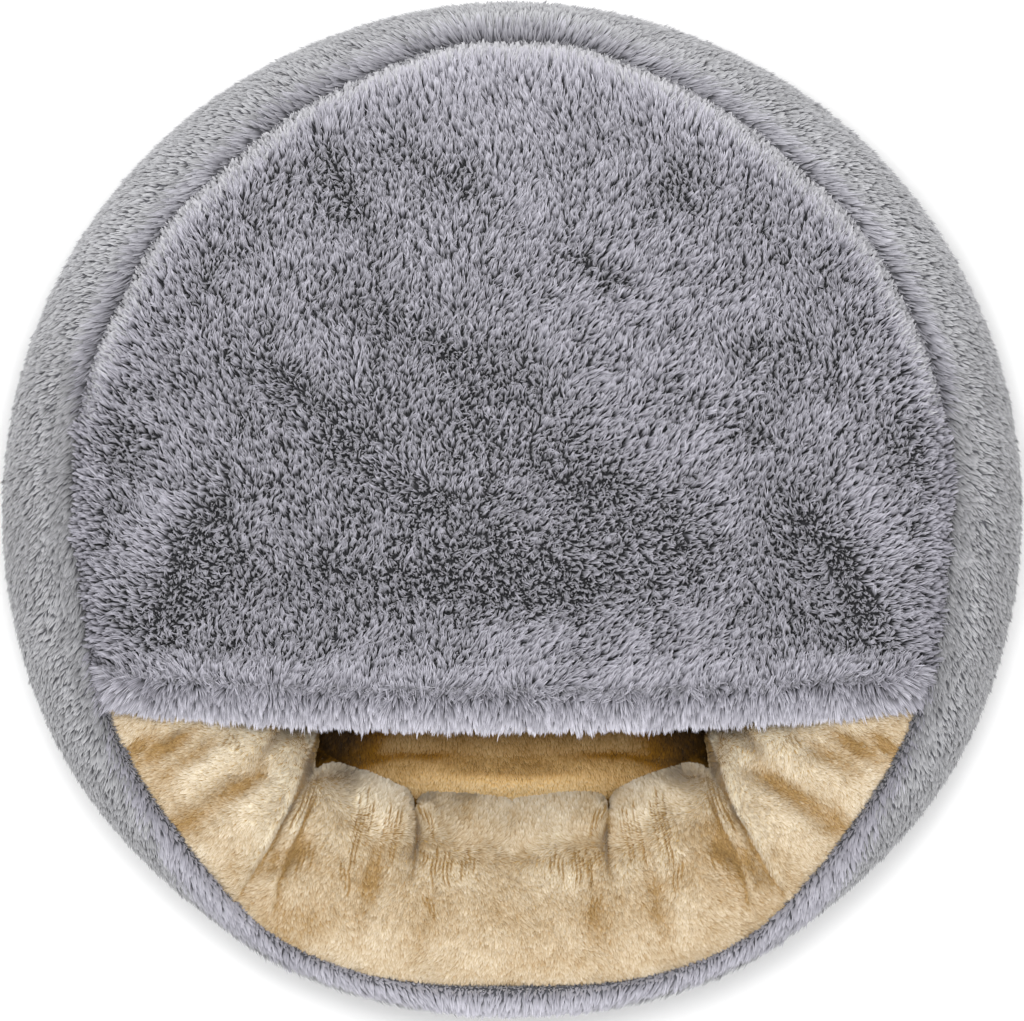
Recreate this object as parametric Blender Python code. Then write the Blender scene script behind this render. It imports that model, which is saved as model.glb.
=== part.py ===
"""Hooded round pet bed, 60 cm across, lying on its base.

A filled ring stands on a round base panel. Its outer half is covered in long plush and its inner
half in gathered short velvet, and the two covers meet in a seam along the shoulder of the ring.
A long plush hood is sewn into the back two thirds of that seam and ends in a hem across the
mouth. A round filled pad is the floor inside.

The front of the bed is -Y, up is +Z, and the origin is the middle of the base. Directions round
the bed are degrees from the front, and both sides of the bed are alike.
"""

import math

import bmesh
import bpy

# Driving sizes, in metres. GAP is what touching pieces keep between them.
GAP = 0.0003
BASE_RADIUS = 0.252
BASE_THICKNESS = 0.003
RING_HEIGHT = 0.152
RING_FOOT = BASE_THICKNESS + GAP
BULGE_HEIGHT = 0.076
CROWN_RADIUS = 0.2365
FOOT_OUTER_RADIUS = 0.246
FOOT_SPLIT_RADIUS = 0.228
FOOT_INNER_RADIUS = 0.184

# The seam lies in a groove, and the outer cover rolls up beside it. ROLL_SHARE is the roll's
# place between the seam and the outline.
SEAM_GROOVE = 0.008
ROLL_SHARE = 0.42
ROLL_RISE = 0.006

MOUTH_LIP_HEIGHT = 0.090
WALL_TURN_HEIGHT = 0.040
WALL_MIDDLE_HEIGHT = 0.080

PAD_RADIUS = FOOT_INNER_RADIUS - 0.0006
PAD_EDGE_RADIUS = 0.158
PAD_EDGE_HEIGHT = 0.027
PAD_TOP = 0.046
PAD_CROWN = 0.010

# The hood lies just above the ring's crown, and its edge is rounded by a share of its thickness.
HOOD_CLEARANCE = 0.0018
HOOD_INSET = 0.0010
HOOD_THICKNESS = 0.013
HOOD_RIM_THICKNESS = 0.003
HOOD_TAPER = 0.030
HOOD_DOME = 0.022
EDGE_ROUNDING = 0.3
HEM_REACH = 0.1335
HEM_BOW = 0.0105
HEM_HALF_WIDTH = 0.230
HEM_CORNER = 62.8

# Outline of the bed: degrees from the front, radius.
OUTLINE = (
    (0, 0.3000),
    (12, 0.3020),
    (25, 0.3050),
    (40, 0.3010),
    (90, 0.3005),
    (180, 0.3000),
)

# Seam between the two covers of the ring: degrees from the front, radius.
SEAM = (
    (0, 0.2765),
    (10, 0.2799),
    (20, 0.2838),
    (30, 0.2830),
    (40, 0.2740),
    (50, 0.2693),
    (60, 0.2681),
    (90, 0.2590),
    (118, 0.2662),
    (146, 0.2711),
    (180, 0.2778),
)

# Edge of the mouth, drawn in by its gathers: degrees from the front, radius.
MOUTH = (
    (0, 0.1710),
    (8, 0.1700),
    (15, 0.1725),
    (21, 0.1750),
    (27.5, 0.1744),
    (33, 0.1800),
    (36.5, 0.1870),
    (40.2, 0.1786),
    (46, 0.1715),
    (60, 0.1725),
    (90, 0.1700),
    (180, 0.1720),
)

# Gathers of the inner cover: degrees from the front at the mouth, degrees at the seam, depth,
# half-width in degrees, and how far each runs out from the mouth.
GATHERS = (
    (18.6, 11.0, 0.012, 2.4, 0.055),
    (36.8, 34.4, 0.012, 2.4, 0.105),
    (54, 54, 0.008, 4.5, 0.050),
    (72, 72, 0.008, 4.5, 0.050),
    (90, 90, 0.008, 4.5, 0.050),
    (108, 108, 0.008, 4.5, 0.050),
    (126, 126, 0.008, 4.5, 0.050),
    (144, 144, 0.008, 4.5, 0.050),
    (162, 162, 0.008, 4.5, 0.050),
)

# Soft waves of the hood: middle x and y, heading in degrees, half-length, half-width, height.
HOOD_WAVES = (
    (0.061, 0.088, -38, 0.085, 0.024, 0.004),
    (0.002, 0.067, -44, 0.090, 0.020, -0.003),
    (-0.125, 0.045, 50, 0.070, 0.028, 0.003),
    (0.000, -0.060, 0, 0.120, 0.025, -0.003),
)

# Folds of the floor pad: middle x and y, heading in degrees, half-length, half-width, height.
FLOOR_FOLDS = (
    (0.000, -0.138, 0, 0.110, 0.012, 0.005),
    (-0.040, 0.060, 35, 0.070, 0.020, 0.003),
)

# Steps round and along the sections. Sharp gathers get a section on each side of their middle.
STATION_STEP = 6
SHARP_GATHERS = 2
GATHER_STEP = 1.4
LOWER_STEPS = 4
UPPER_STEPS = 5
ROLL_STEPS = 3
CROWN_STEPS = 5
LIP_STEPS = 5
TURN_STEPS = 3
SPLIT_STEPS = 3
HOOD_SHARES = (0.28, 0.54, 0.75, 0.9, 1.0)
HOOD_SHOULDER = 0.92
PAD_SHARES = (0.3, 0.6, 0.82, 1.0)
PAD_STEPS = 3
PAD_SIDES = 48

# Plush and velvet: base colour, roughness.
COLOURS = {
    "base_panel": ((0.075, 0.075, 0.082, 1.0), 0.85),
    "outer_wall": ((0.320, 0.318, 0.342, 1.0), 0.95),
    "inner_wall": ((0.588, 0.455, 0.277, 1.0), 0.90),
    "floor_pad": ((0.520, 0.390, 0.220, 1.0), 0.90),
    "hood": ((0.270, 0.266, 0.305, 1.0), 0.95),
}


def clear_scene():
    for obj in list(bpy.data.objects):
        bpy.data.objects.remove(obj, do_unlink=True)


# Curves round the bed


def from_front(degrees):
    """Degrees from the front, the same on both sides of the bed."""
    return abs((degrees + 180) % 360 - 180)


def value_at(rows, degrees):
    """The value of a (degrees from the front, value) table, on a smooth curve through its rows."""
    turn = from_front(degrees)
    mirrored = ((-rows[1][0], rows[1][1]), *rows, (360 - rows[-2][0], rows[-2][1]))
    first = next(i for i in range(1, len(rows)) if turn <= mirrored[i + 1][0])
    (a0, v0), (a1, v1), (a2, v2), (a3, v3) = mirrored[first - 1 : first + 3]
    span = a2 - a1
    share = (turn - a1) / span
    start_slope = (v2 - v0) / (a2 - a0) * span
    end_slope = (v3 - v1) / (a3 - a1) * span
    square, cube = share**2, share**3
    return (
        v1 * (2 * cube - 3 * square + 1)
        + start_slope * (cube - 2 * square + share)
        + v2 * (3 * square - 2 * cube)
        + end_slope * (cube - square)
    )


def place(radius, degrees, height):
    """The point at this radius and height, in this direction from the front."""
    turn = math.radians(degrees)
    return (radius * math.sin(turn), -radius * math.cos(turn), height)


def stations():
    """Directions of the sections: even steps, the hood's corners and the sharp gathers."""
    corners = (HEM_CORNER, HEM_CORNER - GATHER_STEP, HEM_CORNER - 2 * GATHER_STEP)
    wanted = [side * corner for side in (-1, 1) for corner in corners]
    for mouth, seam, _, _, _ in GATHERS[:SHARP_GATHERS]:
        middle = (mouth + seam) / 2
        offsets = (-GATHER_STEP, 0, GATHER_STEP)
        wanted += [side * (middle + offset) for side in (-1, 1) for offset in offsets]
    even = range(-180, 180, STATION_STEP)
    wanted += [
        degrees for degrees in even if min(abs(degrees - w) for w in wanted) > GATHER_STEP
    ]
    return sorted(wanted)


def quarter(centre, across, up, start, end, steps):
    """Points of an ellipse's arc, from start to end degrees, without its first point."""
    points = []
    for i in range(1, steps + 1):
        turn = math.radians(start + (end - start) * i / steps)
        points.append((centre[0] + across * math.cos(turn), centre[1] + up * math.sin(turn)))
    return points


def seam_height(degrees):
    """Height of the seam's groove on the shoulder of the ring."""
    outline = value_at(OUTLINE, degrees)
    share = (value_at(SEAM, degrees) - CROWN_RADIUS) / (outline - CROWN_RADIUS)
    rise = (RING_HEIGHT - BULGE_HEIGHT) * math.sqrt(1 - share**2)
    return BULGE_HEIGHT + rise - SEAM_GROOVE


def split_line(degrees, offset):
    """The line in a section that parts the two halves, from the seam to the foot."""
    top = value_at(SEAM, degrees) + offset, seam_height(degrees)
    foot = FOOT_SPLIT_RADIUS + offset, RING_FOOT
    shares = [i / SPLIT_STEPS for i in range(SPLIT_STEPS + 1)]
    return [tuple(a + (b - a) * share for a, b in zip(top, foot)) for share in shares]


# Sections


def outer_section(degrees):
    """Outer half of the ring: the split line down, then foot, bulge, roll and back to the seam."""
    outline = value_at(OUTLINE, degrees)
    split = split_line(degrees, GAP / 2)
    seam, groove = split[0]
    roll = seam + ROLL_SHARE * (outline - seam)
    roll_top = groove + ROLL_RISE
    foot = (FOOT_OUTER_RADIUS, BULGE_HEIGHT)
    reach = outline - FOOT_OUTER_RADIUS
    lower = quarter(foot, reach, BULGE_HEIGHT - RING_FOOT, -90, 0, LOWER_STEPS)
    upper = quarter(
        (roll, BULGE_HEIGHT), outline - roll, roll_top - BULGE_HEIGHT, 0, 90, UPPER_STEPS
    )
    inside = quarter((roll, groove), roll - seam, ROLL_RISE, 90, 180, ROLL_STEPS)
    return split + [(FOOT_OUTER_RADIUS, RING_FOOT)] + lower + upper + inside[:-1]


def gather_depth(degrees, radius):
    """How far the gathers draw the inner cover in, at this radius."""
    mouth = value_at(MOUTH, degrees)
    seam = value_at(SEAM, degrees)
    along = min(max((radius - mouth) / (seam - mouth), 0), 1)
    turn = from_front(degrees)
    depth = 0
    for at_mouth, at_seam, deep, half_width, run in GATHERS:
        middle = at_mouth + (at_seam - at_mouth) * along
        fade = max(1 - max(radius - mouth, 0) / run, 0)
        depth += deep * fade * math.exp(-(((turn - middle) / half_width) ** 2))
    return depth


def drawn_in(point, degrees, share=1.0):
    """A point of the inner cover, moved towards the filling by the gathers."""
    radius, height = point
    depth = share * gather_depth(degrees, radius)
    away = (CROWN_RADIUS - radius, WALL_MIDDLE_HEIGHT - height)
    length = math.hypot(*away)
    return (radius + away[0] / length * depth, height + away[1] / length * depth)


def inner_section(degrees):
    """Inner half of the ring: the split line down, then foot, lip, crown and back to the seam."""
    split = split_line(degrees, -GAP / 2)
    seam, groove = split[0]
    mouth = value_at(MOUTH, degrees)
    side = (FOOT_INNER_RADIUS, MOUTH_LIP_HEIGHT)
    drop = MOUTH_LIP_HEIGHT - WALL_TURN_HEIGHT
    turn = quarter(side, FOOT_INNER_RADIUS - mouth, drop, 270, 180, TURN_STEPS)
    rise = RING_HEIGHT - MOUTH_LIP_HEIGHT
    lip_middle = (CROWN_RADIUS, MOUTH_LIP_HEIGHT)
    lip = quarter(lip_middle, CROWN_RADIUS - mouth, rise, 180, 90, LIP_STEPS)
    crown_middle = (CROWN_RADIUS, groove)
    crown = quarter(crown_middle, seam - CROWN_RADIUS, RING_HEIGHT - groove, 90, 0, CROWN_STEPS)
    foot = [(FOOT_INNER_RADIUS, RING_FOOT), (FOOT_INNER_RADIUS, WALL_TURN_HEIGHT)]
    turned = [
        drawn_in(point, degrees, (i + 1) / TURN_STEPS) for i, point in enumerate(turn)
    ]
    return split + foot + turned + [drawn_in(point, degrees) for point in lip + crown[:-1]]


# Heights of the hood and the floor


def waves(rows, x, y):
    """Height of soft folds at a place: each is a long smooth hump or trough."""
    height = 0
    for middle_x, middle_y, heading, half_length, half_width, rise in rows:
        turn = math.radians(heading)
        dx, dy = x - middle_x, y - middle_y
        along = dx * math.cos(turn) + dy * math.sin(turn)
        across = dy * math.cos(turn) - dx * math.sin(turn)
        height += rise * math.exp(-((along / half_length) ** 2) - (across / half_width) ** 2)
    return height


def hood_underside(degrees, radius):
    """Height of the hood's underside: over the ring's crown, and domed inside it."""
    if radius >= CROWN_RADIUS:
        groove = seam_height(degrees)
        share = (radius - CROWN_RADIUS) / (value_at(SEAM, degrees) - CROWN_RADIUS)
        crown = groove + (RING_HEIGHT - groove) * math.sqrt(max(1 - share**2, 0))
        return crown + HOOD_CLEARANCE
    inside = 1 - (radius / CROWN_RADIUS) ** 2
    x, y, _ = place(radius, degrees, 0)
    dome = HOOD_DOME * inside**2
    return RING_HEIGHT + HOOD_CLEARANCE + dome + inside * waves(HOOD_WAVES, x, y)


def hood_thickness(degrees, radius):
    """Backing and pile together, pressed thinner at the seam."""
    inset = value_at(SEAM, degrees) - radius
    share = min(max(inset / HOOD_TAPER, 0), 1)
    rounded = math.sqrt(1 - (1 - share) ** 2)
    return HOOD_RIM_THICKNESS + (HOOD_THICKNESS - HOOD_RIM_THICKNESS) * rounded


def hem_radius(degrees):
    """Radius at which this direction meets the hem, or infinity behind the hood's corners."""
    turn = math.radians(degrees)
    toward, across = math.cos(turn), math.sin(turn)
    if from_front(degrees) > HEM_CORNER:
        return math.inf
    curve = HEM_BOW * (across / HEM_HALF_WIDTH) ** 2
    if curve < 1e-9:
        return HEM_REACH
    return (math.sqrt(toward**2 + 4 * curve * HEM_REACH) - toward) / (2 * curve)


def floor_height(x, y):
    """Top of the floor pad inside its rounded edge."""
    share = min(math.hypot(x, y) / PAD_EDGE_RADIUS, 1)
    return PAD_TOP + (1 - share**2) * (PAD_CROWN + waves(FLOOR_FOLDS, x, y))


# Meshes


def joined(name, bm):
    """Closes a mesh with its faces pointing out and gives it its material."""
    bmesh.ops.triangulate(bm, faces=bm.faces[:], quad_method="FIXED")
    bmesh.ops.recalc_face_normals(bm, faces=bm.faces[:])
    mesh = bpy.data.meshes.new(name)
    bm.to_mesh(mesh)
    bm.free()
    mesh.shade_smooth()
    mesh.set_sharp_from_angle(angle=math.radians(50))
    obj = bpy.data.objects.new(name, mesh)
    bpy.context.scene.collection.objects.link(obj)
    colour, roughness = COLOURS[name]
    material = bpy.data.materials.new(name)
    material.use_nodes = True
    shader = material.node_tree.nodes["Principled BSDF"]
    shader.inputs["Base Color"].default_value = colour
    shader.inputs["Roughness"].default_value = roughness
    shader.inputs["Metallic"].default_value = 0.0
    mesh.materials.append(material)
    return obj


def ring_of_faces(bm, inner, outer):
    """Quads between two closed rings of as many points."""
    for i in range(len(inner)):
        j = (i + 1) % len(inner)
        bm.faces.new((inner[i], inner[j], outer[j], outer[i]))


def swept_ring(name, section):
    """A solid with this section at every station round the bed."""
    bm = bmesh.new()
    directions = stations()
    sections = [[place(r, d, z) for r, z in section(d)] for d in directions]
    rings = [[bm.verts.new(point) for point in ring] for ring in zip(*sections)]
    for ring, following in zip(rings, rings[1:] + rings[:1]):
        ring_of_faces(bm, ring, following)
    return joined(name, bm)


def fan(bm, centre, ring):
    """Triangles from a middle point to a closed ring."""
    for i in range(len(ring)):
        bm.faces.new((centre, ring[i], ring[(i + 1) % len(ring)]))


def stacked_rings(name, rings, bottom, top):
    """A closed body of rings from its bottom point up to its top point."""
    bm = bmesh.new()
    made = [[bm.verts.new(point) for point in ring] for ring in rings]
    fan(bm, bm.verts.new(bottom), made[0])
    for ring, following in zip(made, made[1:]):
        ring_of_faces(bm, ring, following)
    fan(bm, bm.verts.new(top), made[-1])
    return joined(name, bm)


# Sub-parts


def base_panel():
    """Flat round panel under the whole bed."""
    turns = [360 * i / PAD_SIDES for i in range(PAD_SIDES)]
    rings = [[place(BASE_RADIUS, d, z) for d in turns] for z in (0, BASE_THICKNESS)]
    return stacked_rings("base_panel", rings, (0, 0, 0), (0, 0, BASE_THICKNESS))


def floor_pad():
    """Round filled pad with an upright side, a rounded edge and a crowned top."""
    turns = [360 * i / PAD_SIDES for i in range(PAD_SIDES)]
    middle = (PAD_EDGE_RADIUS, PAD_EDGE_HEIGHT)
    across = PAD_RADIUS - PAD_EDGE_RADIUS
    edge = quarter(middle, across, PAD_TOP - PAD_EDGE_HEIGHT, 0, 90, PAD_STEPS)[:-1]
    side = [(PAD_RADIUS, RING_FOOT), (PAD_RADIUS, PAD_EDGE_HEIGHT), *edge]
    rings = [[place(r, d, z) for d in turns] for r, z in side]
    for share in reversed(PAD_SHARES):
        flat = [place(share * PAD_EDGE_RADIUS, d, 0) for d in turns]
        rings.append([(x, y, floor_height(x, y)) for x, y, _ in flat])
    return stacked_rings("floor_pad", rings, (0, 0, RING_FOOT), (0, 0, floor_height(0, 0)))


def hood_radii(degrees):
    """Radii of the hood's rings: even inside the ring's crown, and closer together over it."""
    edge = min(value_at(SEAM, degrees) - HOOD_INSET, hem_radius(degrees))
    shoulder = min(CROWN_RADIUS, HOOD_SHOULDER * edge)
    inside = [share * shoulder for share in HOOD_SHARES]
    return inside + [r for r, _ in quarter((shoulder, 0), edge - shoulder, 1, 90, 0, CROWN_STEPS)]


def hood():
    """Plush hood: a sheet with its pile, sewn in at the seam and hemmed across the mouth."""
    directions = stations()
    sections = [hood_radii(d) for d in directions]
    edges = [(radii[-1], hood_thickness(d, radii[-1])) for d, radii in zip(directions, sections)]
    shrink = [1 - EDGE_ROUNDING * thickness / edge for edge, thickness in edges]
    under, over = [], []
    for radii in zip(*sections):
        lows = [hood_underside(d, r) for d, r in zip(directions, radii)]
        highs = [low + hood_thickness(d, r) for d, r, low in zip(directions, radii, lows)]
        under.append([place(r, d, z) for d, r, z in zip(directions, radii, lows)])
        inset = [share * r for share, r in zip(shrink, radii)]
        over.append([place(r, d, z) for d, r, z in zip(directions, inset, highs)])
    bottom = (0, 0, hood_underside(0, 0))
    top = (0, 0, bottom[2] + HOOD_THICKNESS)
    rim = [(x, y, (z + over[-1][i][2]) / 2) for i, (x, y, z) in enumerate(under[-1])]
    return stacked_rings("hood", under + [rim] + over[::-1], bottom, top)


clear_scene()
base_panel()
swept_ring("outer_wall", outer_section)
swept_ring("inner_wall", inner_section)
floor_pad()
hood()
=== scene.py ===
"""Looks of a hooded round pet bed: a plush ring and hood, lined with gathered velvet.

Sizes are in metres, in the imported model's frame: the front of the bed is -Y and up is +Z.
Directions round the bed are degrees from the front, alike on the left and the right.

The covers are modelled first. Their pile and nap are then small leaf-shaped strands, joined into a
few meshes. Each strand has a place on the map STRAND_MAP: its own shade runs across the map, and
the way from root to tip runs up it.
"""

import math

import bpy
import numpy as np
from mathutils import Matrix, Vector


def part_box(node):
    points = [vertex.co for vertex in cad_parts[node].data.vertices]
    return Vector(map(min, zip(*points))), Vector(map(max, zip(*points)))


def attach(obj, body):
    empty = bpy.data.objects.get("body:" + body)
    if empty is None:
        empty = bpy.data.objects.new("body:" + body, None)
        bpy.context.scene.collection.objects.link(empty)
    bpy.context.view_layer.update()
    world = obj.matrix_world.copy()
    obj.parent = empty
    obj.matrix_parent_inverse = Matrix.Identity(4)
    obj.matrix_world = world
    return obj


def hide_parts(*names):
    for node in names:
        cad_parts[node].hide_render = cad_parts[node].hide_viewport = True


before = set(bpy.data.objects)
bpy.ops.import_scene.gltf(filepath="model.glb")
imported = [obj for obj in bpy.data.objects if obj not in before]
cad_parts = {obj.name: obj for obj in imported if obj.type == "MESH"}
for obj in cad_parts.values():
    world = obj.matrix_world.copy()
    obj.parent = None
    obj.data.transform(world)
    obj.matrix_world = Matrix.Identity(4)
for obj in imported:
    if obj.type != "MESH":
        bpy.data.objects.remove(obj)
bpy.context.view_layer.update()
MM = 0.001

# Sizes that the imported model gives.
RING_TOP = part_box("inner_wall")[1].z
RING_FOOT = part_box("outer_wall")[0].z
BASE_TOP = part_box("base_panel")[1].z
BASE_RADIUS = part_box("base_panel")[1].x
HEM_REACH = -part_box("hood")[0].y
PAD_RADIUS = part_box("floor_pad")[1].x
PAD_TOP = 46 * MM

# The ring's section, as the construction has it.
BULGE_HEIGHT = RING_TOP / 2
CROWN_RADIUS = 0.2365
FOOT_OUTER_RADIUS = 0.246
FOOT_SPLIT_RADIUS = 0.228
FOOT_INNER_RADIUS = 0.184
MOUTH_LIP_HEIGHT = 0.090
WALL_TURN_HEIGHT = 0.040
WALL_MIDDLE_HEIGHT = 0.080
SEAM_GROOVE = 0.008
ROLL_SHARE = 0.42
ROLL_RISE = 0.006

# Pile of the ring's outer half that is above this height is on its roll. The middle and the radius
# of the ring's section, and a mean radius of the ring, lay its skin out flat.
ROLL_HEIGHT = 0.110
SECTION_MIDDLE = 0.255
SECTION_RADIUS = 0.050
SKIN_RADIUS = 0.280

# The hood's clearance over the ring, its dome and the bow of its hem.
HOOD_CLEARANCE = 1.8 * MM
HOOD_DOME = 0.022
HEM_BOW = 0.0105
HEM_HALF_WIDTH = 0.230

# Outline of the bed, seam of its shoulder and edge of its mouth: degrees from the front, radius.
OUTLINE = (
    (0, 0.2992), (12, 0.2992), (25, 0.3008), (40, 0.3000), (60, 0.3024), (90, 0.3015),
    (130, 0.3015), (160, 0.3003), (180, 0.3008),
)
SEAM = (
    (0, 0.2765), (10, 0.2799), (20, 0.2838), (30, 0.2830), (40, 0.2740), (50, 0.2680),
    (59, 0.2652), (66, 0.2598), (75, 0.2538), (85, 0.2512), (99, 0.2536), (110, 0.2557),
    (119, 0.2562), (129, 0.2583), (140, 0.2572), (151, 0.2606), (165, 0.2658), (173, 0.2702),
    (180, 0.2697),
)
MOUTH = (
    (0, 0.1710), (8, 0.1700), (15, 0.1725), (21, 0.1758), (27.5, 0.1768), (34, 0.1818),
    (38.2, 0.1852), (42, 0.1800), (48, 0.1730), (62, 0.1725), (90, 0.1700), (180, 0.1720),
)

# Gathers of the velvet: degrees at the mouth, degrees at the seam, depth, half-width in degrees,
# and how far each runs out from the mouth.
GATHERS = ((18.6, 11.0, 0.012, 2.4, 0.055), (38.4, 35.0, 0.012, 2.4, 0.105)) + tuple(
    (turn, turn, 0.008, 4.5, 0.050) for turn in range(54, 180, 18)
)

# Soft folds of the hood, in mm: middle x and y, heading in degrees, half-length, half-width, height.
HOOD_WAVES = (
    (61, 88, -38, 85, 24, 4),
    (2, 67, -44, 90, 20, -3),
    (-125, 45, 50, 70, 28, 3),
    (0, -60, 0, 120, 25, -3),
)

# How far the covers lie inside the solids that include their pile, and how far filling pushes.
PILE_ROOM = 4.0 * MM
NAP_ROOM = 2.5 * MM
RING_SWELL = 3 * MM
FLOOR_SWELL = 5 * MM
FILLING_PRESSURE = 4
FILLING_FRAMES = 20

# Beside the seam, the covers rise in front, where no hood is sewn in, and the hood's edge is
# tucked down behind.
SEAM_LIFT = 6 * MM
EDGE_TUCK = 6 * MM

# The most that a strand leans, as a share of its length.
MOST_LEAN = 0.96

# The strands' map, and half of a strand's width on it.
STRAND_MAP = "OFBake"
STRAND_MAP_HALF = 0.004


# Numbers and curves


def smooth(low, high, value):
    """0 below low and 1 above high, with a soft rise between them."""
    share = np.clip((value - low) / (high - low), 0, 1)
    return share * share * (3 - 2 * share)


def fading(low, high, value):
    """1 below low and 0 above high, with a soft fall between them."""
    return 1 - smooth(low, high, value)


def hump(value, half_width):
    """1 at 0, falling softly to both sides."""
    return np.exp(-((value / half_width) ** 2))


def table_at(rows, degrees):
    """The value of a (degrees from the front, value) table, on a smooth curve through its rows."""
    turn = np.abs((np.asarray(degrees, float) + 180) % 360 - 180)
    mirrored = ((-rows[1][0], rows[1][1]), *rows, (360 - rows[-2][0], rows[-2][1]))
    at, value = np.array(mirrored, float).T
    first = np.clip(np.searchsorted(at[2 : len(rows) + 1], turn) + 1, 1, len(rows) - 1)
    span = at[first + 1] - at[first]
    share = (turn - at[first]) / span
    start = (value[first + 1] - value[first - 1]) / (at[first + 1] - at[first - 1]) * span
    end = (value[first + 2] - value[first]) / (at[first + 2] - at[first]) * span
    square, cube = share**2, share**3
    return (
        value[first] * (2 * cube - 3 * square + 1)
        + start * (cube - 2 * square + share)
        + value[first + 1] * (3 * square - 2 * cube)
        + end * (cube - square)
    )


def place(radius, degrees, height):
    """Points at these radii and heights, in these directions from the front."""
    turn = np.radians(degrees)
    flat = np.broadcast_arrays(radius * np.sin(turn), -radius * np.cos(turn), height)
    return np.stack(flat, axis=-1)


def direction(points):
    """Degrees from the front of each point, and its radius."""
    turn = np.degrees(np.arctan2(points[..., 0], -points[..., 1]))
    return turn, np.hypot(points[..., 0], points[..., 1])


def from_middle(x, y, middle_x, middle_y, heading):
    """How far places in metres are from a middle in mm, in mm along its heading and across it."""
    turn = math.radians(heading)
    dx, dy = x / MM - middle_x, y / MM - middle_y
    return (
        dx * math.cos(turn) + dy * math.sin(turn),
        dy * math.cos(turn) - dx * math.sin(turn),
    )


def folds(rows, x, y):
    """Height in mm of soft folds at a place: each is a long smooth hump or trough."""
    height = np.zeros_like(x)
    for middle_x, middle_y, heading, half_length, half_width, rise in rows:
        along, across = from_middle(x, y, middle_x, middle_y, heading)
        height += rise * hump(along, half_length) * hump(across, half_width)
    return height


def seam_height(degrees):
    outline = table_at(OUTLINE, degrees)
    share = (table_at(SEAM, degrees) - CROWN_RADIUS) / (outline - CROWN_RADIUS)
    return BULGE_HEIGHT + (RING_TOP - BULGE_HEIGHT) * np.sqrt(1 - share**2) - SEAM_GROOVE


def hood_underside(x, y):
    """Height of the hood's underside: over the ring's crown, and domed inside it."""
    degrees, radius = direction(np.stack([x, y], axis=-1))
    groove = seam_height(degrees)
    share = (radius - CROWN_RADIUS) / (table_at(SEAM, degrees) - CROWN_RADIUS)
    over = groove + (RING_TOP - groove) * np.sqrt(np.clip(1 - share**2, 0, 1))
    inside = np.clip(1 - (radius / CROWN_RADIUS) ** 2, 0, 1)
    dome = RING_TOP + HOOD_DOME * inside**2 + inside * folds(HOOD_WAVES, x, y) * MM
    return np.where(radius >= CROWN_RADIUS, over, dome) + HOOD_CLEARANCE


def hem_line(x, reach=HEM_REACH):
    return -reach + HEM_BOW * (x / HEM_HALF_WIDTH) ** 2


# Meshes


def only(piece):
    """Leaves this piece alone selected and active."""
    bpy.ops.object.select_all(action="DESELECT")
    piece.select_set(True)
    bpy.context.view_layer.objects.active = piece


def primitive(name, add, **sizes):
    """A primitive as a piece of this name, alone selected, with its place in its mesh."""
    bpy.ops.object.select_all(action="DESELECT")
    add(**sizes)
    bpy.ops.object.transform_apply(location=True, rotation=False, scale=False)
    piece = bpy.context.object
    piece.name = piece.data.name = name
    return piece


def disc(name, radius, low, high):
    """A round slab between two heights."""
    return primitive(
        name,
        bpy.ops.mesh.primitive_cylinder_add,
        vertices=96,
        radius=radius,
        depth=high - low,
        location=(0, 0, (low + high) / 2),
    )


def points_of(piece, what="co"):
    points = np.zeros(len(piece.data.vertices) * 3, np.float32)
    piece.data.vertices.foreach_get(what, points)
    return points.reshape(-1, 3).astype(float)


def set_points(piece, points):
    piece.data.vertices.foreach_set("co", points.astype(np.float32).ravel())
    piece.data.update()


def apply(piece, modifier):
    only(piece)
    bpy.ops.object.modifier_apply(modifier=modifier.name)


def modified(piece, kind, **settings):
    """Adds a modifier with these settings, and applies it."""
    modifier = piece.modifiers.new(kind.title(), kind)
    for key, value in settings.items():
        setattr(modifier, key, value)
    apply(piece, modifier)


def turned_out(piece):
    """Faces of a closed piece point outwards, and it is shaded smooth."""
    only(piece)
    bpy.ops.object.mode_set(mode="EDIT")
    bpy.ops.mesh.select_all(action="SELECT")
    bpy.ops.mesh.normals_make_consistent(inside=False)
    bpy.ops.object.mode_set(mode="OBJECT")
    bpy.ops.object.shade_smooth()


def filled(piece, held, swell):
    """The filling pushes the cover out: cloth under pressure, each point moving at most swell.
    The points that are held stay, and the cover is made twice as fine afterwards."""
    before = points_of(piece)
    group = piece.vertex_groups.new(name="held")
    group.add([int(i) for i in np.flatnonzero(held)], 1.0, "REPLACE")
    cloth = piece.modifiers.new("Filling", "CLOTH")
    cloth.settings.use_pressure = True
    cloth.settings.uniform_pressure_force = FILLING_PRESSURE
    cloth.settings.effector_weights.gravity = 0
    cloth.settings.vertex_group_mass = group.name
    cloth.point_cache.frame_start, cloth.point_cache.frame_end = 1, FILLING_FRAMES
    for frame_number in range(1, FILLING_FRAMES + 1):
        bpy.context.scene.frame_set(frame_number)
    apply(piece, cloth)
    bpy.context.scene.frame_set(1)
    set_points(piece, before + limited(points_of(piece) - before, swell))
    piece.vertex_groups.clear()
    modified(piece, "SUBSURF", levels=1, render_levels=1)


def quarter(centre, across, up, start, end, steps):
    """Rings along an ellipse's arc, from start to end degrees, without its first point."""
    turns = [math.radians(start + (end - start) * i / steps) for i in range(1, steps + 1)]
    return [(centre[0] + across * math.cos(t), centre[1] + up * math.sin(t)) for t in turns]


def stations(count, front, share):
    """Directions round the bed, with this share of them within front degrees of the front."""
    way = np.linspace(-1, 1, count, endpoint=False)
    rest = front + (np.abs(way) - share) / (1 - share) * (180 - front)
    return np.where(np.abs(way) < share, way / share * front, np.sign(way) * rest)


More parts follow.
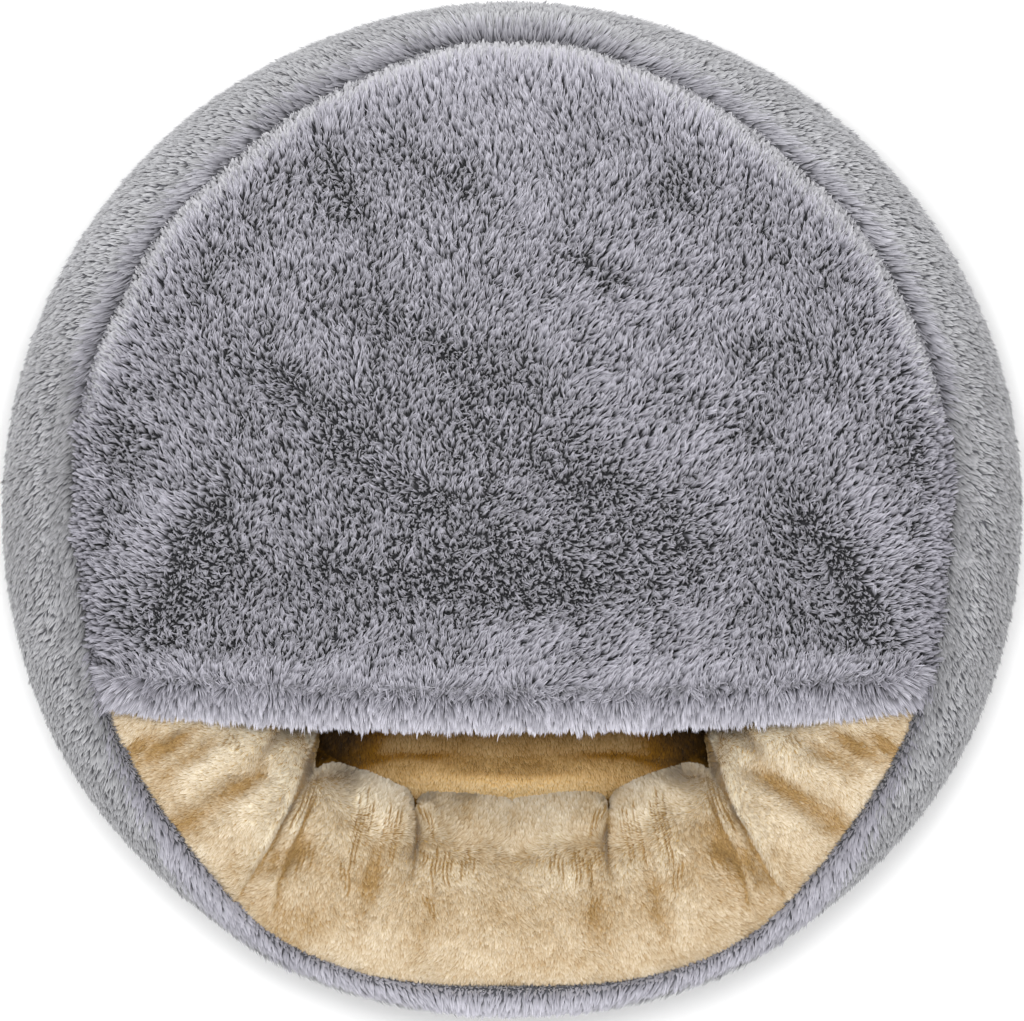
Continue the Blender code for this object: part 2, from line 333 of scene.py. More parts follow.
def split_line(degrees, offset, steps):
    """Rings down the line that parts the two halves of the ring, from the seam to the foot."""
    top = table_at(SEAM, degrees) + offset, seam_height(degrees) - 3 * MM
    foot = FOOT_SPLIT_RADIUS + offset, RING_FOOT
    shares = [i / steps for i in range(steps + 1)]
    return [tuple(a + (b - a) * share for a, b in zip(top, foot)) for share in shares]


def swept(name, degrees, rings):
    """A torus, reshaped so that its rings have these radii and heights in each direction."""
    piece = primitive(
        name,
        bpy.ops.mesh.primitive_torus_add,
        major_segments=len(degrees),
        minor_segments=len(rings),
        major_radius=CROWN_RADIUS,
        minor_radius=BULGE_HEIGHT / 2,
    )
    flat = [place(radius + 0 * degrees, degrees, height + 0 * degrees) for radius, height in rings]
    set_points(piece, np.stack(flat, axis=1).reshape(-1, 3))
    turned_out(piece)
    return piece


# Strands

# Steps of an even sequence of places in a square: 1 and 2 divisions by the plastic number.
EVEN_STEPS = (0.7548776662466927, 0.5698402909980532)


def scattered(piece, density, rng):
    """Even random points on a piece, with its smooth normals. density takes points and normals
    and gives the number to a square metre."""
    mesh = piece.data
    mesh.calc_loop_triangles()
    corners = np.zeros(len(mesh.loop_triangles) * 3, np.int32)
    mesh.loop_triangles.foreach_get("vertices", corners)
    corners = corners.reshape(-1, 3)
    points, normals = points_of(piece), points_of(piece, "normal")
    a, b, c = (points[corners[:, i]] for i in range(3))
    faces = np.cross(b - a, c - a)
    area = np.linalg.norm(faces, axis=1) / 2
    middle, facing = (a + b + c) / 3, faces / (2 * area[:, None] + 1e-12)
    weight = np.cumsum(area * density(middle, facing))
    count = int(weight[-1])
    face = np.searchsorted(weight, np.arange(count) + rng.random(count))
    face = np.minimum(face, len(corners) - 1)
    step = np.arange(count)
    s, t = (step * EVEN_STEPS[0]) % 1, (step * EVEN_STEPS[1]) % 1
    s, t = np.where(s + t > 1, 1 - s, s), np.where(s + t > 1, 1 - t, t)
    share = np.stack([1 - s - t, s, t], axis=1)[:, :, None]
    at = (points[corners[face]] * share).sum(1)
    up = (normals[corners[face]] * share).sum(1)
    return at, up / np.linalg.norm(up, axis=1)[:, None]


def clump_of(chart, size, rng):
    """Each strand's clump: its number and the way to the clump's middle, in the chart."""
    cell = np.floor(chart / size).astype(int)
    low = cell.min(0) - 1
    shape = cell.max(0) - low + 2
    middles = rng.random((*shape, 2))
    nearest = np.full(len(chart), np.inf)
    number = np.zeros(len(chart), int)
    way = np.zeros_like(chart)
    for step in np.ndindex(3, 3):
        at = cell + np.array(step) - 1
        index = at - low
        offset = (at + middles[index[:, 0], index[:, 1]]) * size - chart
        distance = (offset**2).sum(1)
        closer = distance < nearest
        nearest = np.where(closer, distance, nearest)
        number = np.where(closer, index[:, 0] * shape[1] + index[:, 1], number)
        way = np.where(closer[:, None], offset, way)
    return number, way, shape[0] * shape[1]


def drift(chart, size, rng):
    """Soft unevenness from -1 to 1 that changes over this distance."""
    at = chart / size
    cell = np.floor(at).astype(int)
    low = cell.min(0)
    grid = rng.random(tuple(cell.max(0) - low + 2)) * 2 - 1
    (s, t), (i, j) = smooth(0, 1, at - cell).T, (cell - low).T
    near = grid[i, j] * (1 - s) + grid[i + 1, j] * s
    far = grid[i, j + 1] * (1 - s) + grid[i + 1, j + 1] * s
    return near * (1 - t) + far * t


def limited(vectors, most):
    """Vectors no longer than most."""
    length = np.linalg.norm(vectors, axis=1, keepdims=True)
    return vectors * np.minimum(1, most / np.maximum(length, 1e-9))


def strand_mesh(name, roots, up, lean, rise, width, shade, finish, leaf=True):
    """One mesh of strands that look outwards: leaves of two faces, or spikes of one."""
    tips = roots + up * rise[:, None] + lean
    across = np.cross(up, lean)
    across /= np.linalg.norm(across, axis=1)[:, None] + 1e-12
    half = across * (width / 2)[:, None]
    side = STRAND_MAP_HALF
    if leaf:
        middle = roots + up * (rise * 0.62)[:, None] + lean * 0.36
        points = np.stack([roots, middle - half, middle + half, tips], axis=1)
        order, u, v = (0, 1, 2, 1, 3, 2), (0, -side, side, -side, 0, side), (2, 50, 50, 50, 98, 50)
    else:
        points = np.stack([roots - half, tips, roots + half], axis=1)
        order, u, v = (0, 1, 2), (-side, 0, side), (2, 98, 2)
    # No strand goes through what the bed stands on.
    points[..., 2] = np.maximum(points[..., 2], RING_FOOT / 2)
    faces = points.shape[1] * np.arange(len(roots))[:, None] + np.array(order)
    mesh = bpy.data.meshes.new(name)
    mesh.from_pydata(points.reshape(-1, 3).tolist(), [], faces.reshape(-1, 3).tolist())
    across_map = np.clip(shade, 0.02, 0.98)[:, None] + np.array(u)
    up_map = np.broadcast_to(np.array(v) / 100, across_map.shape)
    places = np.stack([across_map, up_map], axis=2).astype(np.float32)
    mesh.uv_layers.new(name=STRAND_MAP).data.foreach_set("uv", places.ravel())
    mesh.validate()
    mesh.shade_smooth()
    mesh.materials.append(finish)
    piece = bpy.data.objects.new(name, mesh)
    bpy.context.scene.collection.objects.link(piece)
    return piece


# How each pile falls: size of its clumps, how hard their tips draw together, how unruly clumps and
# single strands are, how uneven the clumps' shade and length and each strand's shade are, and
# whether its strands are leaves.
FALL = {
    "hood": (2.1 * MM, 0.84, 0.13, 0.05, 0.08, 0.11, 0.06, True),
    "rim": (1.4 * MM, 0.35, 0.18, 0.05, 0.05, 0.16, 0.06, True),
    "hem": (2.0 * MM, 0.72, 0.10, 0.04, 0.18, 0.12, 0.20, True),
    "ring": (2.8 * MM, 0.60, 0.06, 0.05, 0.08, 0.10, 0.11, True),
    "nap": (1.7 * MM, 0.35, 0.07, 0.06, 0.06, 0.08, 0.06, False),
}


def pile(name, here, strands, finish, fall, rng):
    """A mesh of the strands that are here, drawn into clumps. strands holds points, normals, both
    axes of the surface, chart, comb, length, width and shade for each strand. The comb is its
    lean along the axes, as shares of its length."""
    at, up, first, second, chart, comb, length, width, shade = (part[here] for part in strands)
    clump, pull, unruly, stray, patchy, uneven, speckle, leaf = FALL[fall]
    number, way, total = clump_of(chart, clump, rng)
    clump_lean = rng.normal(0, unruly, (total, 2))[number]
    clump_shade = rng.normal(0, patchy, total)[number]
    clump_length = 1 + rng.normal(0, uneven, total)[number]
    own_lean = rng.normal(0, stray, (len(at), 2))
    share = limited(comb + clump_lean + own_lean, MOST_LEAN)
    length = length * clump_length * (1 + rng.normal(0, uneven / 2, len(at)))
    rise = length * np.sqrt(1 - (share**2).sum(1))
    lateral = share * length[:, None] + pull * way
    lean = lateral[:, :1] * first + lateral[:, 1:] * second
    shade = shade + clump_shade + rng.normal(0, speckle, len(at))
    width = width * (1 + 0.25 * rng.random(len(at)))
    return strand_mesh(name, at, up, lean, rise, width, shade, finish, leaf)


def piles(names, part, *others):
    """A pile for each name, of the strands whose part has that name's number, so that each stays
    a mesh of reasonable size."""
    return [pile(name, part == number, *others) for number, name in enumerate(names)]


# Materials


def linear(colour):
    """Linear colour of an sRGB hex value."""
    parts = [int(colour[i : i + 2], 16) / 255 for i in (1, 3, 5)]
    return [p / 12.92 if p <= 0.04045 else ((p + 0.055) / 1.055) ** 2.4 for p in parts] + [1.0]


def node(tree, kind, values=None, links=None, stops=(), **settings):
    """A node with its settings, its inputs' values, the sockets that feed its inputs and, on a
    colour ramp, its stops as (place, sRGB hex)."""
    made = tree.nodes.new(kind)
    for key, value in settings.items():
        setattr(made, key, value)
    for key, value in (values or {}).items():
        made.inputs[key].default_value = value
    for key, socket in (links or {}).items():
        tree.links.new(socket, made.inputs[key])
    if stops:
        elements = made.color_ramp.elements
        for element, (at, colour) in zip(elements, (stops[0], stops[-1])):
            element.position, element.color = at, linear(colour)
        for at, colour in stops[1:-1]:
            elements.new(at).color = linear(colour)
    return made


def material(name, roughness, sheen=0.0, sheen_tint="#ffffff"):
    """A material, its node tree and its shader."""
    made = bpy.data.materials.new(name)
    made.use_nodes = True
    tree = made.node_tree
    shader = tree.nodes["Principled BSDF"]
    shader.inputs["Roughness"].default_value = roughness
    shader.inputs["Sheen Weight"].default_value = sheen
    shader.inputs["Sheen Roughness"].default_value = 0.5
    shader.inputs["Sheen Tint"].default_value = linear(sheen_tint)
    return made, tree, shader


def fibre(name, middle, dark, light, roughness=0.55, sheen=0.25, sheen_tint="#ffffff"):
    """Fibres with their own shades between a dark and a light one. Each shade has its colour at
    the root, at this share of the way up and at the tip; the darker roots are painted shade."""
    made, tree, shader = material(name, roughness, sheen, sheen_tint)
    coordinates = node(tree, "ShaderNodeUVMap", uv_map=STRAND_MAP)
    parts = node(tree, "ShaderNodeSeparateXYZ", links={"Vector": coordinates.outputs["UV"]})
    mix_links = {0: parts.outputs["X"]}
    for colour_input, colours in ((6, dark), (7, light)):
        stops = tuple(zip((0.0, middle, 1.0), colours.split()))
        along = node(tree, "ShaderNodeValToRGB", links={"Fac": parts.outputs["Y"]}, stops=stops)
        mix_links[colour_input] = along.outputs["Color"]
    mix = node(tree, "ShaderNodeMix", links=mix_links, data_type="RGBA")
    tree.links.new(mix.outputs[2], shader.inputs["Base Color"])
    return made


def cloth_finish(name, colours, patch_mm, grain_mm, bump_mm, roughness, sheen=0.1):
    """Cloth with soft patches of tone and a fine grain that is also its bump."""
    made, tree, shader = material(name, roughness, sheen)
    coordinates = {"Vector": node(tree, "ShaderNodeTexCoord").outputs["Object"]}
    patches, grain = (
        node(tree, "ShaderNodeTexNoise", {"Scale": 1000 / size_mm, "Detail": detail}, coordinates)
        for size_mm, detail in ((patch_mm, 3.0), (grain_mm, 2.0))
    )
    links = {0: patches.outputs["Fac"]}
    tone = node(tree, "ShaderNodeMath", {1: 0.6}, links, operation="MULTIPLY")
    links = {0: grain.outputs["Fac"], 2: tone.outputs["Value"]}
    both = node(tree, "ShaderNodeMath", {1: 0.4}, links, operation="MULTIPLY_ADD")
    stops = tuple(zip((0.3, 0.55, 0.75), colours.split()))
    colour = node(tree, "ShaderNodeValToRGB", links={"Fac": both.outputs["Value"]}, stops=stops)
    tree.links.new(colour.outputs["Color"], shader.inputs["Base Color"])
    values = {"Strength": 0.6, "Distance": bump_mm * MM}
    bump = node(tree, "ShaderNodeBump", values, {"Height": grain.outputs["Fac"]})
    tree.links.new(bump.outputs["Normal"], shader.inputs["Normal"])
    return made


def make_materials():
    return {
        # Polyester long plush: fine glossy fibres of a cool lavender grey, painted dark at the root as
        # the shade where they crowd together, and pale at the tips as the light that passes them.
        "hood_plush": fibre(
            "hood plush fibre, polyester", 0.40, "#0d0d0f #3e3d42 #a3a1ab", "#1b1b1f #7f7e87 #e2e0ea"
        ),
        # The same plush on the ring, where it lies flatter and looks paler and less blue.
        "ring_plush": fibre(
            "ring plush fibre, polyester", 0.45, "#1c1c1e #646466 #98989a", "#343436 #96969a #cbcbce"
        ),
        # The same plush beside the seams, where light gets down to its roots.
        "seam_plush": fibre(
            "seam plush fibre, polyester", 0.35, "#3c3b41 #7c7b82 #9f9da7", "#606067 #a9a8b0 #d4d2dc"
        ),
        # The same plush where the ring rolls in to the hood's seam: combed apart, with the shade
        # among its roots painted dark.
        "roll_plush": fibre(
            "roll plush fibre, polyester", 0.40, "#161618 #5a595f #9a99a1", "#2c2c30 #9b9aa2 #dddce3"
        ),
        # The hood's clipped plush along its seam: short, pale and neutral.
        "rim_plush": fibre(
            "clipped plush fibre, polyester",
            0.35,
            "#66666a #8e8e92 #aeaeb1",
            "#8e8e92 #bcbcc0 #dedde1",
            roughness=0.6,
        ),
        # Short velvet nap: soft and golden, painted darker in its depth as shade, paler on its tips,
        # with a warm sheen.
        "nap": fibre(
            "velvet nap fibre, polyester",
            0.5,
            "#6f4e1c #916e34 #ae8e56",
            "#cdb68c #e2d7bd #f3efe6",
            roughness=0.6,
            sheen=0.45,
            sheen_tint="#fff0da",
        ),
        # The same nap on the floor, where light from velvet to velvet makes it a deeper gold.
        "floor_nap": fibre(
            "velvet floor nap fibre, polyester",
            0.5,
            "#4a2c00 #a06c08 #cc9014",
            "#b88430 #eec680 #ffeec6",
            roughness=0.7,
            sheen=0.0,
        ),
        # The same nap deep under the mouth and towards its corners, where little light reaches it.
        "deep_nap": fibre(
            "velvet shaded nap fibre, polyester",
            0.5,
            "#1c0e00 #3a2404 #50360a",
            "#4a2c00 #a06c08 #cc9014",
            roughness=0.7,
            sheen=0.0,
        ),
        # Knitted grounds that the fibres stand in: matt, a little uneven in tone, and drawn with a
        # coarser stitch than the real one, which is too fine to show.
        "velvet": cloth_finish(
            "velvet ground, knitted polyester", "#927442 #a98c58 #bda272", 22, 1.6, 0.5, 0.8
        ),
        "ring_backing": cloth_finish(
            "ring plush ground, knitted polyester", "#45454a #57575c #68686d", 15, 2.0, 0.4, 0.85
        ),
        # The hood's ground is painted nearly black, as the shade deep in its pile.
        "backing": cloth_finish(
            "plush ground, knitted polyester", "#18181b #242428 #323237", 15, 2.0, 0.4, 0.85
        ),
        # Plain woven cloth under the bed: dark, matt and without sheen.
        "base": cloth_finish(
            "base cloth, woven polyester", "#2b2b2f #3d3d42 #4e4e54", 30, 1.5, 0.3, 0.8, 0.0
        ),
    }


# Covers


def fitted(piece, finish, stands_for):
    """A finished cover, in place of its solid."""
    piece.data.materials.append(finish)
    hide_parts(stands_for)
    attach(piece, "root")


def base_cloth(finishes):
    """Flat round cloth under the bed."""
    piece = disc("base_cloth", BASE_RADIUS, 0, BASE_TOP)
    modified(piece, "BEVEL", width=1.0 * MM, segments=2)
    bpy.ops.object.shade_smooth_by_angle(angle=math.radians(40))
    fitted(piece, finishes["base"], "base_panel")


def outer_cover(finishes):
    """Outer half of the ring under its pile: bulge, roll and the groove at the seam."""
    degrees = stations(112, 90, 0.5)
    outline = table_at(OUTLINE, degrees) - PILE_ROOM
    split = split_line(degrees, 0.3 * MM, 3)
    ahead = fading(60, 72, np.abs(degrees))
    split[0] = (split[0][0], split[0][1] + SEAM_LIFT * ahead)
    seam, groove = split[0]
    roll = seam + ROLL_SHARE * (outline - seam)
    roll_top = groove + ROLL_RISE + 2 * MM - 3 * MM * ahead
    foot = (FOOT_OUTER_RADIUS - 2 * MM, BULGE_HEIGHT)
    reach = outline - foot[0]
    rings = split + [(foot[0], RING_FOOT)]
    rings += quarter(foot, reach, BULGE_HEIGHT - RING_FOOT, -90, 0, 5)
    rings += quarter((roll, BULGE_HEIGHT), outline - roll, roll_top - BULGE_HEIGHT, 0, 90, 7)
    rings += quarter((roll, groove), roll - seam, ROLL_RISE, 90, 180, 4)[:-1]
    piece = swept("outer_cover", degrees, rings)
    filled(piece, np.tile(np.arange(len(rings)) < 5, len(degrees)), RING_SWELL)
    fitted(piece, finishes["ring_backing"], "outer_wall")
    return piece


def drawn_in(ring, degrees, share=1.0):
    """A ring of the inner cover, moved towards the filling by the gathers."""
    radius, height = ring
    mouth, seam = table_at(MOUTH, degrees), table_at(SEAM, degrees)
    along = np.clip((radius - mouth) / (seam - mouth), 0, 1)
    turn = np.abs((degrees + 180) % 360 - 180)
    depth = np.zeros_like(degrees)
    for at_mouth, at_seam, deep, half_width, run in GATHERS:
        middle = at_mouth + (at_seam - at_mouth) * along
        fade = np.clip(1 - np.maximum(radius - mouth, 0) / run, 0, 1)
        depth += deep * fade * hump(turn - middle, half_width)
    in_r, in_z = CROWN_RADIUS - radius, WALL_MIDDLE_HEIGHT - height
    length = np.hypot(in_r, in_z)
    return radius + in_r / length * depth * share, height + in_z / length * depth * share


# Creases of the velvet, as (degrees from the front, radius) from the mouth outwards.
LOBE_EDGE = (
    (42.0, 0.172), (39.8, 0.187), (37.9, 0.2026), (36.6, 0.2183), (36.2, 0.2327), (35.8, 0.2455),
    (35.4, 0.2700),
)
PLEAT_EDGE = ((35.2, 0.198), (34.2, 0.2150), (33.1, 0.2335), (32.3, 0.2536), (31.0, 0.267))
NOTCH = ((18.6, 0.160), (18.6, 0.1787), (16.1, 0.1995), (15.4, 0.2122), (15.2, 0.224))
MIDDLE_TUCK = ((0.0, 0.160), (0.0, 0.1717), (0.0, 0.182))

# Bunches of fine lines: start and end as (degrees, radius), number of lines, how far apart and
# how deep they are.
FINE_GATHERS = (
    ((36.4, 0.190), (33.6, 0.2300), 4, 0.0021, 0.7),
    ((27.6, 0.1804), (23.6, 0.2330), 5, 0.0021, 0.8),
    ((21.7, 0.1829), (19.4, 0.2230), 6, 0.0021, 0.55),
    ((16.6, 0.1790), (14.0, 0.1990), 3, 0.0021, 0.6),
    ((14.2, 0.2015), (14.5, 0.2152), 3, 0.0020, 0.5),
    ((11.9, 0.1985), (10.4, 0.2253), 6, 0.0022, 0.65),
    ((8.0, 0.1978), (6.7, 0.2184), 4, 0.0024, 0.5),
    ((12.8, 0.2249), (11.1, 0.2445), 3, 0.0024, 0.4),
    ((31.6, 0.2220), (29.6, 0.2480), 4, 0.0022, 0.4),
    ((25.6, 0.2230), (23.2, 0.2470), 3, 0.0023, 0.4),
    ((58.5, 0.2490), (57.3, 0.2620), 4, 0.0024, 0.5),
    ((51.0, 0.2036), (49.4, 0.2179), 4, 0.0024, 0.5),
)

# Soft folds of the velvet in front, in mm as above, from under the hood's edge: right side, mirrored
# to the left.
WALL_FOLDS = (
    (138, -133.5, -50, 12, 4.5, -4),
    (195, -134.7, -32, 20, 5.5, -4),
    (180, -140, -34, 22, 5.5, -3),
    (217, -137, -36, 14, 4.5, -3),
    (152, -157.6, -32, 24, 8, -4),
    (185, -180.6, -35, 20, 9, -3),
    (128, -199, -42, 18, 7, -3),
    (82, -218, -74, 26, 6, -1.6),
    (50, -230, -82, 26, 6, -1),
)


def flat_points(rows):
    """Flat places of (degrees, radius) rows on the right-hand side."""
    degrees, radius = np.array(rows, float).T
    return place(radius, degrees, 0.0)[:, :2]


def from_line(x, y, rows):
    """Distance to a line of (degrees, radius) rows, more degrees being positive, and the share of
    its length at the nearest place."""
    line = flat_points(rows)
    lengths = np.linalg.norm(np.diff(line, axis=0), axis=1)
    before = np.concatenate([[0], np.cumsum(lengths)])
    best = np.full(x.shape, np.inf)
    signed = np.zeros_like(x)
    share = np.zeros_like(x)
    for i, length in enumerate(lengths):
        way = (line[i + 1] - line[i]) / length
        dx, dy = x - line[i, 0], y - line[i, 1]
        along = np.clip(dx * way[0] + dy * way[1], 0, length)
        off_x, off_y = dx - along * way[0], dy - along * way[1]
        distance = np.hypot(off_x, off_y)
        side = np.sign(way[0] * off_y - way[1] * off_x)
        closer = distance < best
        best = np.where(closer, distance, best)
        signed = np.where(closer, side * distance, signed)
        share = np.where(closer, (before[i] + along) / before[-1], share)
    return signed, share


def step_over(signed, high, low, roll, reach):
    """Height beside an overlapping edge: a rounded edge that falls away, and a tuck before it."""
    above = high * (1 - np.exp(-np.maximum(signed, 0) / roll)) * np.exp(-signed / reach)
    below = -low * np.exp(signed / (2 * roll))
    return np.where(signed > 0, above, below)


def crease_height(x, y):
    """How far the front velvet stands out or sinks in at its creases and folds."""
    x = np.abs(x)
    lobe, along = from_line(x, y, LOBE_EDGE)
    height = step_over(lobe, 8 * MM, 5 * MM, 1.9 * MM, 32 * MM) * (1 - 0.64 * along)
    pleat, along = from_line(x, y, PLEAT_EDGE)
    fade = smooth(0, 0.35, along) * (1 - 0.62 * along)
    height += step_over(pleat, 6 * MM, 4.5 * MM, 1.6 * MM, 9 * MM) * fade
    notch, along = from_line(x, y, NOTCH)
    height -= 9 * MM * hump(notch, 2.4 * MM) * (1 - along) ** 0.8
    height += 3 * MM * (hump(np.abs(notch) - 6 * MM, 4 * MM)) * (1 - along)
    tuck, along = from_line(x, y, MIDDLE_TUCK)
    height -= 4 * MM * hump(tuck, 2.2 * MM) * (1 - along)
    return height + 1.6 * MM * folds(WALL_FOLDS, x, y)


def fine_gathers(x, y):
    """How deep in a fine gathered line each place is, how near to a bunch of them, and the way
    that the lines run."""
    side = np.where(x < 0, -1.0, 1.0)
    deep = np.zeros_like(x)
    near = np.zeros_like(x)
    way = np.zeros((len(x), 2))
    for start, end, count, apart, strength in FINE_GATHERS:
        signed, along = from_line(np.abs(x), y, (start, end))
        half = count * apart / 2
        row = (signed + 0.5 * MM * np.sin(along * 9 + count)) / apart + (count + 1) % 2 / 2
        number = np.round(row)
        begins = 0.12 * (1 + np.sin(2.4 * number + count))
        stops = 1 - 0.20 * (1 + np.sin(1.7 * number + 2 * count))
        ends = smooth(0, 0.12, along - begins) * smooth(0, 0.25, stops - along)
        line_deep = hump(np.abs(row - number), 0.24) * ends * (np.abs(signed) < half)
        deep = np.maximum(deep, strength * line_deep)
        bunch = strength * smooth(0, 0.15, along) * smooth(0, 0.3, 1 - along)
        bunch *= 1 - smooth(half, half + 3 * MM, np.abs(signed))
        line = np.diff(flat_points((start, end)), axis=0)[0]
        line /= np.linalg.norm(line)
        near = np.maximum(near, bunch)
        way += bunch[:, None] * np.stack([line[0] * side, line[1] + 0 * side], axis=1)
    return deep, near, way / np.maximum(np.linalg.norm(way, axis=1), 1e-9)[:, None]


def inner_cover(finishes):
    """Inner half of the ring: gathered velvet over the crown and down to the floor."""
    degrees = stations(236, 68, 0.70)
    split = split_line(degrees, -0.3 * MM, 3)
    ahead = fading(60, 72, np.abs(degrees))
    seam, groove = split[0][0], seam_height(degrees) + 4 * MM * ahead
    split[0] = (seam, split[0][1] + SEAM_LIFT * ahead)
    mouth = table_at(MOUTH, degrees) + NAP_ROOM
    foot_radius = FOOT_INNER_RADIUS + 1 * MM
    top, lip = RING_TOP - NAP_ROOM, MOUTH_LIP_HEIGHT
    rings = split + [(foot_radius, height) for height in (RING_FOOT, 22 * MM, WALL_TURN_HEIGHT)]
    turn = quarter((foot_radius, lip), foot_radius - mouth, lip - WALL_TURN_HEIGHT, 270, 180, 4)
    rings += [drawn_in(ring, degrees, (i + 1) / 4) for i, ring in enumerate(turn)]
    over = quarter((CROWN_RADIUS, lip), CROWN_RADIUS - mouth, top - lip, 180, 90, 12)
    over += quarter((CROWN_RADIUS, groove), seam - CROWN_RADIUS, top - groove, 90, 0, 8)[:-1]
    rings += [drawn_in(ring, degrees) for ring in over]
    piece = swept("inner_cover", degrees, rings)
    filled(piece, np.tile(np.arange(len(rings)) < 6, len(degrees)), RING_SWELL)
    sculpt_wall(piece)
    fitted(piece, finishes["velvet"], "inner_wall")
    return piece


def sculpt_wall(piece):
    """Works the creases and folds into the front, and keeps the rest clear of the hood."""
    points, up = points_of(piece), points_of(piece, "normal")
    degrees, radius = direction(points)
    x, y, z = points.T
    shown = fading(64, 72, np.abs(degrees)) * smooth(0.045, 0.075, z)
    shown *= smooth(-0.25, 0.1, up[:, 2] + 0.6 * (radius < CROWN_RADIUS))
    shown *= smooth(-1 * MM, 6 * MM, table_at(SEAM, degrees) - radius)
    # The lip is plump between mouth and crown.
    plump = hump(np.degrees(np.arctan2(z - MOUTH_LIP_HEIGHT, CROWN_RADIUS - radius)) - 48, 26)
    plump *= (radius < CROWN_RADIUS) * (z > MOUTH_LIP_HEIGHT)
    points += up * ((crease_height(x, y) + 6 * MM * plump) * shown)[:, None]
    under = np.where(y > hem_line(x) + 4 * MM, hood_underside(x, y) - 0.5 * MM, np.inf)
    points[:, 2] = np.minimum(points[:, 2], under)
    set_points(piece, points)


# Soft folds of the floor, in mm as above, most of them in front.
FLOOR_FOLDS = (
    (0, -159, 0, 60, 7.5, 7),
    (0, -144.5, 0, 50, 4.5, -2),
    (76, -144, -9, 28, 7, -6),
    (-76, -144, 9, 28, 7, -6),
    (0, -133, 0, 90, 7, 3),
    (-40, 60, 35, 70, 20, 3),
)


def floor_cushion(finishes):
    """Round filled pad between the walls."""
    piece = disc("floor_cushion", PAD_RADIUS + 1 * MM, RING_FOOT, PAD_TOP)
    modified(piece, "BEVEL", width=9 * MM, segments=4, angle_limit=math.radians(50))
    modified(piece, "REMESH", mode="VOXEL", voxel_size=12 * MM)
    filled(piece, points_of(piece)[:, 2] < 14 * MM, FLOOR_SWELL)
    points = points_of(piece)
    x, y, z = points.T
    top = smooth(28 * MM, 42 * MM, z)
    crown = np.clip(1 - (np.hypot(x, y) / PAD_RADIUS) ** 2, 0, 1)
    points[:, 2] += top * (4 * crown + folds(FLOOR_FOLDS, x, y)) * MM
    points[:, 2] = np.maximum(points[:, 2], RING_FOOT)
    set_points(piece, points)
    only(piece)
    bpy.ops.object.shade_smooth()
    fitted(piece, finishes["velvet"], "floor_pad")
    return piece


# The hood's cloth: its thickness, how far its edge is inside the seam, where its hem ends, and the
# depth of the hem and of the row of stitches that shows on it.
HOOD_CLOTH = 2.6 * MM
HOOD_INSET = 1.0 * MM
HEM_CLOTH_REACH = HEM_REACH - 11.5 * MM
HEM_DEPTH = 24 * MM
STITCH_DEPTH = 11 * MM


def on_hood(points):
    """Degrees from the front of points on the hood's cloth, how far each is inside the cloth's
    sewn edge, and how far behind its hem."""
    degrees, radius = direction(points)
    to_edge = table_at(SEAM, degrees) - HOOD_INSET - radius
    return degrees, to_edge, points[:, 1] - hem_line(points[:, 0], HEM_CLOTH_REACH)


def hood_edge(degrees):
    """Places on the sewn edge of the hood's cloth."""
    return place(table_at(SEAM, degrees) - HOOD_INSET, degrees, 0.0)[..., :2]


def hood_cloth(finishes):
    """The hood's cloth: cut to the seam on three sides and to the hem in front."""
    piece = primitive(
        "hood_cloth",
        bpy.ops.mesh.primitive_grid_add,
        x_subdivisions=60,
        y_subdivisions=60,
        size=2,
    )
    u, v = ((points_of(piece)[:, :2] + 1) / 2).T
    # The grid's corners: where the seam meets the hem, and behind.
    near_corner = np.linspace(50, 80, 301)
    corner = float(np.interp(0, on_hood(hood_edge(near_corner))[2], near_corner))
    back = 138.0
    left, right = hood_edge(-corner), hood_edge(corner)
    far_left, far_right = hood_edge(-back), hood_edge(back)
    hem_x = left[0] + (right[0] - left[0]) * u
    hem = np.stack([hem_x, hem_line(hem_x, HEM_CLOTH_REACH)], axis=1)
    rear = hood_edge(-back - (360 - 2 * back) * u)
    side = corner + (back - corner) * v
    u, v = u[:, None], v[:, None]
    flat = (1 - v) * hem + v * rear + (1 - u) * hood_edge(-side) + u * hood_edge(side)
    flat -= (1 - u) * (1 - v) * left + u * (1 - v) * right
    flat -= (1 - u) * v * far_left + u * v * far_right
    x, y = flat.T
    set_points(piece, np.column_stack([x, y, hood_underside(x, y) + 0.3 * MM]))
    modified(piece, "SOLIDIFY", thickness=HOOD_CLOTH, offset=1)
    points, up = points_of(piece), points_of(piece, "normal")
    degrees, to_edge, inside = on_hood(points)
    doubled = 1.6 * MM * fading(HEM_DEPTH - 3 * MM, HEM_DEPTH, inside)
    stitched = 1.2 * MM * hump(inside - STITCH_DEPTH, 1.5 * MM)
    points[:, 2] += np.where(up[:, 2] > 0.3, doubled - stitched, 0)
    # The sewn edge goes down into the groove, except where the hem leaves it.
    points[:, 2] -= EDGE_TUCK * fading(0, 6 * MM, to_edge) * smooth(63, 71, np.abs(degrees))
    set_points(piece, points)
    only(piece)
    bpy.ops.object.shade_smooth()
    fitted(piece, finishes["backing"], "hood")
    return piece


# Pile and nap


def bearing(turn):
    """Directions in the chart at these angles from its second axis."""
    return np.stack([np.sin(turn), np.cos(turn)], axis=-1)


def flat_axes(up):
    """Two directions in the surface: nearly +X and nearly +Y."""
    right = np.array([1.0, 0, 0]) - up * up[:, :1]
    right /= np.linalg.norm(right, axis=1)[:, None]
    return right, np.cross(up, right)


def ring_axes(at, up):
    """Two directions in the surface of the ring: round it to more degrees, and from the mouth
    over the crown towards the floor outside."""
    turn = np.radians(direction(at)[0])
    around = np.stack([np.cos(turn), np.sin(turn), 0 * turn], axis=1)
    around -= up * (around * up).sum(1)[:, None]
    around /= np.linalg.norm(around, axis=1)[:, None]
    return around, np.cross(around, up)


